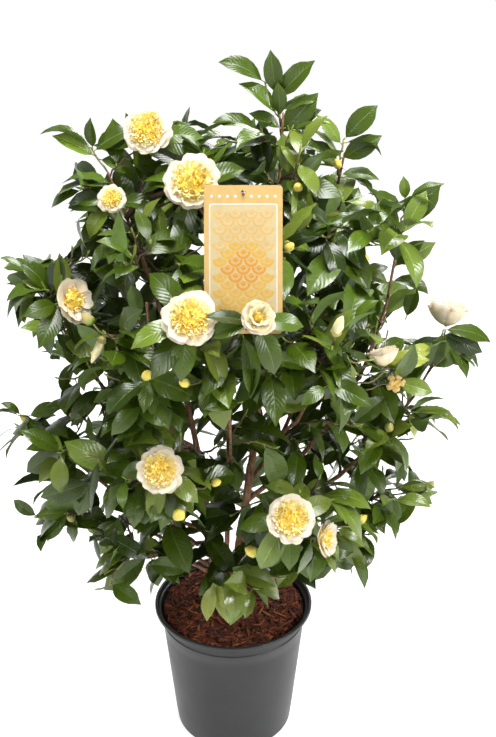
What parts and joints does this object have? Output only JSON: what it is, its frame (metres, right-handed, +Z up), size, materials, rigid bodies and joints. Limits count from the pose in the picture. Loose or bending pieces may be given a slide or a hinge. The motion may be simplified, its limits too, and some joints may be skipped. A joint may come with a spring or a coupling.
{
  "type": "camellia shrub in a nursery pot",
  "caption": "Upright evergreen flowering shrub with glossy leaves and pale yellow blooms, standing in a round tapered plastic pot with a hang card.",
  "frame": {"origin": "centre of the pot's flat underside, on the pot's axis", "axes": "+Z up along the pot's axis, -Y towards the front of the plant where the card hangs, +X to the right of someone who faces it"},
  "size_m": [0.8034, 0.612, 1.1928],
  "materials": {
    "pot_plastic": "satin moulded plastic",
    "bark_mulch": "shredded bark",
    "bark": "smooth young bark",
    "foliage": "glossy leaves",
    "label_card": "printed card"
  },
  "bodies": {
    "root": {"pot": "pot_plastic", "root_ball": "bark_mulch", "root_crown": "bark", "stem_left": "bark", "stem_middle": "bark", "stem_right": "bark", "bough_left_mid": "bark", "bough_left_low": "bark", "bough_left_skirt": "bark", "bough_front_left_skirt": "bark", "bough_front_left": "bark", "bough_front_left_upper": "bark", "bough_front": "bark", "bough_front_skirt": "bark", "bough_front_right": "bark", "bough_front_right_upper": "bark", "bough_right_skirt": "bark", "bough_right_mid": "bark", "bough_right_upper": "bark", "bough_right_top": "bark", "bough_back_right": "bark", "bough_back_left": "bark", "bough_back": "bark", "label_twig": "bark", "top_spray": "foliage", "crown_top": "foliage", "right_top_spray": "foliage", "left_top_spray": "foliage", "left_top": "foliage", "back_top": "foliage", "upper_left": "foliage", "upper_front_left": "foliage", "upper_front": "foliage", "upper_right": "foliage", "right_upper_spray": "foliage", "upper_back_left": "foliage", "upper_back_right": "foliage", "left_mid_spray": "foliage", "mid_left": "foliage", "mid_front_left": "foliage", "mid_front": "foliage", "mid_front_right": "foliage", "mid_right": "foliage", "right_mid_spray": "foliage", "mid_back_left": "foliage", "mid_back": "foliage", "mid_back_right": "foliage", "left_low_spray": "foliage", "low_left": "foliage", "low_front_left": "foliage", "low_front_right": "foliage", "low_right": "foliage", "low_back_left": "foliage", "low_back_right": "foliage", "left_skirt": "foliage", "front_left_skirt": "foliage", "front_skirt": "foliage", "front_right_skirt": "foliage", "right_skirt": "foliage", "plant_label": "label_card"}
  },
  "joints": []
}
